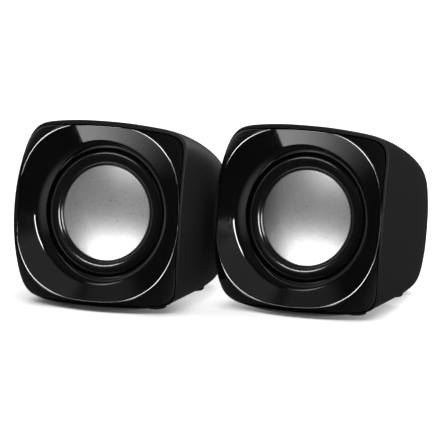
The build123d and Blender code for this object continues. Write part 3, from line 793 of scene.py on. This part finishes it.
def spider(side):
    """Corrugated cloth disc."""
    radii = np.linspace(6.47, 16.0, 60)
    profile = [(r, spider_y(r) - SPIDER_HALF_THICKNESS) for r in radii]
    profile += [(r, spider_y(r) + SPIDER_HALF_THICKNESS) for r in radii[::-1]]
    ob = lathe(SPEAKERS[side], side + "_cloth_spider", profile, "spider_cloth", 160)
    flex(side, ob, side + "_driver_spider")


# --------------------------------------------------------------------------
# Cables, world millimetres
# --------------------------------------------------------------------------
COIL_PITCH, COIL_STEPS = 3.6, 28   # rise and points per turn
SPLINE_STEPS = 8                   # points per stretch between waypoints
CABLE_SIDES = 20

# Waypoints x, y, z between the speaker and the coil, and after the coil.
USB_TO_COIL = [(44.2, 93.0, 11.5), (41.6, 104.0, 4.6), (38.0, 114.0, 2.2)]
USB_TO_PLUG = [
    (2.0, 148.2, 17.2), (-8.0, 149.4, 12.5), (-17.0, 150.0, 6.2), (-25.0, 150.0, 4.5),
    (-30.0, 150.0, 4.5), (-33.9, 150.0, 4.5)]
AUDIO_TO_COIL = [(35.4, 93.0, 11.2), (34.9, 104.0, 4.6), (33.5, 114.0, 2.0)]
AUDIO_TO_PLUG = [
    (4.0, 143.7, 17.9), (-4.0, 141.4, 18.2), (-11.0, 138.3, 14.2), (-18.0, 135.4, 7.0),
    (-25.0, 134.4, 4.5), (-30.0, 134.4, 4.5), (-33.9, 134.4, 4.5)]
LINK_TO_COIL = [(-38.6, 69.0, 12.0), (-35.6, 79.0, 4.6), (-33.6, 88.5, 2.0)]
LINK_TO_RIGHT = [
    (-44.0, 79.9, 15.4), (-36.0, 80.2, 13.2), (-28.0, 82.6, 8.0), (-20.0, 86.4, 2.4),
    (-12.0, 88.0, 1.7), (-4.0, 88.0, 1.7), (4.0, 88.0, 1.7), (12.0, 88.4, 1.9),
    (19.5, 91.2, 4.6), (24.0, 92.4, 9.6)]


def spline(points):
    """Centripetal Catmull-Rom curve through the points."""
    p = np.array(points, float)
    p = np.vstack([2 * p[0] - p[1], p, 2 * p[-1] - p[-2]])

    def between(a, b, start, end, t):
        return (end - t) / (end - start) * a + (t - start) / (end - start) * b

    curve = []
    for i in range(1, len(p) - 2):
        p0, p1, p2, p3 = p[i - 1:i + 3]
        t0 = 0.0
        t1 = t0 + np.linalg.norm(p1 - p0) ** 0.5
        t2 = t1 + np.linalg.norm(p2 - p1) ** 0.5
        t3 = t2 + np.linalg.norm(p3 - p2) ** 0.5
        for t in np.linspace(t1, t2, SPLINE_STEPS, endpoint=False):
            a1 = between(p0, p1, t0, t1, t)
            a2 = between(p1, p2, t1, t2, t)
            a3 = between(p2, p3, t2, t3, t)
            b1 = between(a1, a2, t0, t2, t)
            b2 = between(a2, a3, t1, t3, t)
            curve.append(between(b1, b2, t1, t2, t))
    curve.append(p[-2])
    return np.array(curve)


def cable(name, waypoints, radius):
    """Round cable through the waypoints, carried by a frame that doesn't twist."""
    path = spline(waypoints)
    tangents = np.gradient(path, axis=0)
    tangents /= np.linalg.norm(tangents, axis=1, keepdims=True)
    angle = around(CABLE_SIDES)[:, None]
    normal = unit(np.cross(tangents[0], [0, 0, 1.0]))
    rings = []
    for point, tangent in zip(path, tangents):
        normal = unit(normal - tangent * (normal @ tangent))
        binormal = np.cross(tangent, normal)
        rings.append(point + radius * (np.cos(angle) * normal + np.sin(angle) * binormal))
    ends = (np.mean(rings[0], axis=0), np.mean(rings[-1], axis=0))
    vertices, faces = skin(rings, ends)
    return closed_mesh(name, vertices * MM, faces, "cable_jacket")


def way_out(side, x, z, inner_y):
    """Waypoints from inside the cabinet straight out of its rear."""
    depths = [inner_y, inner_y + 4, 63.0, 67.0, 71.0, 75.0, 77.0]
    return list(SPEAKERS[side].to_world([(x, y, z) for y in depths]) / MM)


def coil(centre, radius, start_z, turns):
    count = int(round(turns * COIL_STEPS))
    points = []
    for k in range(count + 1):
        a = 2 * math.pi * turns * k / count
        points.append((centre[0] + radius * math.cos(a), centre[1] + radius * math.sin(a),
                       start_z + COIL_PITCH * turns * k / count))
    return points


def coil_centre(tie, reach):
    """The coil's centre: its tie band sits on the -X side, reach away."""
    centre = np.mean(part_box(tie), axis=0) / MM
    return (centre[0] + reach, centre[1])


def signal_leads():
    centre = coil_centre("signal_cable_tie", 21.9)
    usb = way_out("right", x=5.0, z=-12.0, inner_y=52.6) + USB_TO_COIL
    usb += coil(centre, radius=23.6, start_z=1.8, turns=4.25) + USB_TO_PLUG
    place(cable("usb_lead", usb, radius=1.6), "right_speaker", "usb_cable")
    audio = way_out("right", x=-4.5, z=-12.0, inner_y=52.6) + AUDIO_TO_COIL
    audio += coil(centre, radius=20.0, start_z=1.6, turns=4.25) + AUDIO_TO_PLUG
    place(cable("audio_lead", audio, radius=1.4), "right_speaker", "audio_cable")


def link_lead():
    """Cable from the left speaker, through its own coil, to the right speaker."""
    coil_radius = 18.0
    centre = coil_centre("link_cable_tie", coil_radius)
    link = way_out("left", x=0.0, z=-10.0, inner_y=58.0) + LINK_TO_COIL
    link += coil(centre, coil_radius, start_z=1.7, turns=3.75) + LINK_TO_RIGHT
    link += reversed(way_out("right", x=-14.0, z=-12.0, inner_y=52.6))
    ob = cable("link_lead", link, radius=1.5)
    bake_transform(ob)
    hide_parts("link_cable")


# inset from the band's outside (mm), place across its width (-1 to 1)
TIE_SECTION = [(0.5, -0.8), (0.42, -1), (0.08, -1), (0, -0.9),
               (0, 0.9), (0.08, 1), (0.42, 1), (0.5, 0.8)]
TIE_RADIUS = 1.25


def link_tie():
    """Band round the link cable's coil; it is carried by the left speaker's body."""
    low, high = (np.array(p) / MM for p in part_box("link_cable_tie"))
    middle, half = (low + high) / 2, (high - low) / 2
    angle = around(96)
    rings = []
    for inset, across in TIE_SECTION:
        x, z = rounded_rect(angle, half[0] - inset, -half[2] + inset, half[2] - inset,
                            TIE_RADIUS - inset)
        rings.append(ring_points(middle[0] + x, middle[1] + half[1] * across, middle[2] + z))
    vertices, faces = skin(rings)
    ob = closed_mesh("link_tie", vertices * MM, faces, "tie_plastic")
    place(ob, "left_speaker", "link_cable_tie")


for side in SPEAKERS:
    for build in (cabinet, bezel, cap, surround, spider):
        build(side)
signal_leads()
link_lead()
link_tie()


# --------------------------------------------------------------------------
# Floor and surroundings
# Directions are azimuth (0 straight in front, positive to the right) and
# elevation, in degrees.
# --------------------------------------------------------------------------
FLOOR_HALF = 4.0


def direction(azimuth, elevation):
    az, el = math.radians(azimuth), math.radians(elevation)
    return np.array([math.sin(az) * math.cos(el), -math.cos(az) * math.cos(el), math.sin(el)])


def studio_floor():
    h = FLOOR_HALF
    floor = new_mesh("studio_floor", [(-h, -h, 0), (h, -h, 0), (h, h, 0), (-h, h, 0)],
                     [(0, 1, 2, 3)], pale_floor("pale_floor"))
    floor.visible_glossy = False
    floor.visible_shadow = False


def studio_world():
    """Surroundings with separate levels for reflections, other light and the camera."""
    world = bpy.data.worlds.new("studio")
    bpy.context.scene.world = world
    world.use_nodes = True
    tree = world.node_tree
    tree.nodes.clear()

    def view_direction():
        return add_node(tree, "ShaderNodeTexCoord").outputs["Generated"]

    def degrees(operation, *values):
        return calc(tree, "MULTIPLY", calc(tree, operation, *values), 180 / math.pi)

    def away(target):
        """Degrees between the looked-at direction and the target."""
        dot = add_node(tree, "ShaderNodeVectorMath", {0: view_direction(), 1: tuple(target)},
                       operation="DOT_PRODUCT")
        return degrees("ARCCOSINE", dot.outputs["Value"])

    axes = add_node(tree, "ShaderNodeSeparateXYZ", {0: view_direction()}).outputs
    azimuth = degrees("ARCTAN2", axes["X"], calc(tree, "MULTIPLY", axes["Y"], -1.0))
    elevation = degrees("ARCSINE", axes["Z"])

    def window(radiance, azimuths, elevations, soft_azimuths, soft_elevations):
        """Rectangle of the given radiance, each side fading over its soft width."""
        mask = None
        for angle, (low, high), (soft_low, soft_high) in (
                (azimuth, azimuths, soft_azimuths), (elevation, elevations, soft_elevations)):
            for start, end in ((low - soft_low, low), (high + soft_high, high)):
                side = soft_step(tree, angle, start, end)
                mask = side if mask is None else calc(tree, "MULTIPLY", mask, side)
        return calc(tree, "MULTIPLY", mask, radiance)

    # reflections: dim to the front left, lighter away from it, and two soft windows
    off_front = soft_step(tree, away(direction(-25, 9)), 48, 88)
    glossy = calc(tree, "ADD", 0.03, calc(tree, "MULTIPLY", off_front, 0.05))
    for pane in (
            window(0.30, azimuths=(-16, 12), elevations=(24, 44),
                   soft_azimuths=(12, 8), soft_elevations=(8, 6)),
            window(0.18, azimuths=(-54, -34), elevations=(34, 50),
                   soft_azimuths=(12, 12), soft_elevations=(8, 6))):
        glossy = calc(tree, "ADD", glossy, pane)

    # everything else is lit mostly from overhead
    overhead = calc(tree, "SUBTRACT", 1.0, soft_step(tree, away((0, 0, 1)), 35, 60))
    diffuse = calc(tree, "ADD", 0.55, calc(tree, "MULTIPLY", overhead, 1.9))

    # inputs 0, 2 and 3 of each mix are the factor and the two values
    ray = add_node(tree, "ShaderNodeLightPath").outputs
    light = add_node(tree, "ShaderNodeMix", {0: ray["Is Glossy Ray"], 2: diffuse, 3: glossy},
                     data_type="FLOAT")
    backdrop = 1.02
    seen = add_node(tree, "ShaderNodeMix",
                    {0: ray["Is Camera Ray"], 2: light.outputs[0], 3: backdrop},
                    data_type="FLOAT")
    background = add_node(tree, "ShaderNodeBackground", {"Color": seen.outputs[0]})
    add_node(tree, "ShaderNodeOutputWorld", {"Surface": background.outputs[0]})


studio_floor()
studio_world()

# --------------------------------------------------------------------------
# Lights
# --------------------------------------------------------------------------
LIT_CENTRE = np.array([0.0, 0.0, 0.04])   # the cards' directions are seen from here
POWER_PER_AREA = 4                        # watts per square metre and unit of radiance


def group(name, *members):
    collection = bpy.data.collections.new(name)
    for member in members:
        collection.objects.link(bpy.data.objects[member])
    return collection


def pose(x, y, back, at):
    """Matrix of an object with these axes, looking away from back."""
    return Matrix([(x[i], y[i], back[i], at[i]) for i in range(3)] + [(0, 0, 0, 1)])


def area_light(name, size, radiance, receivers):
    data = bpy.data.lights.new(name, "AREA")
    data.shape = "RECTANGLE"
    data.size, data.size_y = size
    data.energy = POWER_PER_AREA * data.size * data.size_y * radiance
    ob = bpy.data.objects.new(name, data)
    bpy.context.scene.collection.objects.link(ob)
    ob.visible_camera = False
    ob.light_linking.receiver_collection = receivers
    return ob


def soft_sides(soft):
    """Fades over the given share of the card at each of its four sides."""
    return [(axis, start, end) for axis in "XY"
            for start, end in ((0.0, soft), (1.0, 1.0 - soft))]


def fade_light(data, fades):
    """Multiplies the strength by fades (axis, where it is 0, where it is 1)."""
    data.use_nodes = True
    tree = data.node_tree
    across = add_node(tree, "ShaderNodeNewGeometry").outputs["Parametric"]
    axes = add_node(tree, "ShaderNodeSeparateXYZ", {0: across}).outputs
    strength = None
    for axis, start, end in fades:
        step = soft_step(tree, axes[axis], start, end)
        strength = step if strength is None else calc(tree, "MULTIPLY", strength, step)
    set_inputs(tree, tree.nodes["Emission"], {"Strength": strength})


def card(name, azimuths, elevations, radiance, receivers, distance=1.6, fades=(), roll=0.0):
    """Soft box filling the given angles as seen from the pair; it lights only the receivers."""
    elevation = sum(elevations) / 2
    back = direction(sum(azimuths) / 2, elevation)
    at = LIT_CENTRE + back * distance
    width, height = (2 * distance * math.tan(math.radians((high - low) / 2))
                     for low, high in (azimuths, elevations))
    size = (width * math.cos(math.radians(elevation)), height)
    ob = area_light(name, size, radiance, receivers)
    if fades:
        fade_light(ob.data, fades)
    back = Vector(back)
    x = Vector((0, 0, 1)).cross(back).normalized()
    ob.matrix_world = (pose(x, back.cross(x), back, at)
                       @ Matrix.Rotation(math.radians(roll), 4, "Z"))
    ob.visible_diffuse = False
    return ob


bezels = group("lit_bezels", "left_bezel", "right_bezel")
caps = group("lit_caps", "left_silver_cap", "right_silver_cap")
rolls = group("lit_rolls", "left_rubber_surround", "right_rubber_surround")
shells = group("lit_shells", "left_cabinet", "right_cabinet")

# name, azimuths, elevations, radiance, receivers, options
CARDS = [
    ("table", (-62, -15.0), (-36, -8), 3.3, bezels, dict(distance=5.0, fades=[("X", 0.05, 1.0)])),
    ("ridge_light", (-32, -18), (3, 16), 22, bezels, {}),
    ("strip", (13, 23), (12, 34), 19, bezels, {}),
    ("side_right", (40, 115), (-80, 40), 0.45, bezels, dict(fades=soft_sides(0.5))),
    ("side_left", (-180, -98), (-40, 60), 0.9, bezels, dict(fades=soft_sides(0.5))),
    ("above", (-20, 80), (62, 128), 0.7, bezels, dict(fades=soft_sides(0.5))),
    ("brow", (-92, -34), (43, 61), 2.4, bezels, dict(fades=soft_sides(0.5), roll=45)),
    ("roll_top", (-62, -8), (43, 50), 22, rolls, dict(roll=12)),
    ("roll_strip", (50, 66), (4, 34), 24, rolls, {}),
    ("cap_glow", (-85, 25), (-24, 46), 0.15, caps, {}),
    ("cap_front", (-37, 5), (-38, -5), 3.2, caps, {}),
    ("cap_key", (-28, -4), (34, 42), 3.2, caps, {}),
    ("cap_left", (-95, -62), (-10, 25), 0.8, caps, dict(fades=soft_sides(0.3))),
    ("shell_side", (78, 112), (-15, 45), 3.2, shells, dict(fades=soft_sides(0.2))),
    ("shell_top", (110, 190), (52, 80), 3.5, shells, dict(fades=soft_sides(0.2))),
    ("shell_low", (-70, 50), (-80, -35), 1.5, shells, dict(fades=soft_sides(0.3))),
]
for *row, options in CARDS:
    card(*row, **options)

fill = card("between", (100, 190), (-10, 50), 0.8, group("lit_left_shell", "left_cabinet"),
            fades=soft_sides(0.3))
fill.data.use_shadow = False

# lights for the floor only: name, place (m), size (m), radiance
FLOOR_LIGHTS = [
    ("gap_light", (-0.006, 0.032, 0.022), (0.012, 0.04), 3.8),
    ("side_light", (0.074, 0.055, 0.025), (0.015, 0.06), 2.5),
]
ground = group("lit_floor", "studio_floor")
for name, place_at, size, radiance in FLOOR_LIGHTS:
    ob = area_light(name, size, radiance, ground)
    ob.data.use_shadow = False
    ob.location = place_at
    ob.visible_glossy = False

# --------------------------------------------------------------------------
# Camera: in front and to the right, aimed between the speakers
# --------------------------------------------------------------------------
CAMERA_AZIMUTH, CAMERA_ELEVATION = 24.74, 11.054
CAMERA_DISTANCE = 1.2959
AIM_RIGHT, AIM_UP = 0.05047, -0.00293   # from the left speaker's origin, across the view
FOCAL_LENGTH, SENSOR_WIDTH = 260.16218, 36.0   # millimetres


def camera():
    data = bpy.data.cameras.new("camera")
    ob = bpy.data.objects.new("camera", data)
    bpy.context.scene.collection.objects.link(ob)
    bpy.context.scene.camera = ob
    azimuth = math.radians(CAMERA_AZIMUTH)
    right = np.array([math.cos(azimuth), math.sin(azimuth), 0])
    back = direction(CAMERA_AZIMUTH, CAMERA_ELEVATION)
    up = np.cross(back, right)
    aim = SPEAKERS["left"].origin + right * AIM_RIGHT + up * AIM_UP
    ob.matrix_world = pose(right, up, back, aim + back * CAMERA_DISTANCE)
    data.sensor_width = SENSOR_WIDTH
    data.lens = FOCAL_LENGTH
    data.clip_end = 20


camera()
bpy.context.scene.view_settings.view_transform = "Standard"
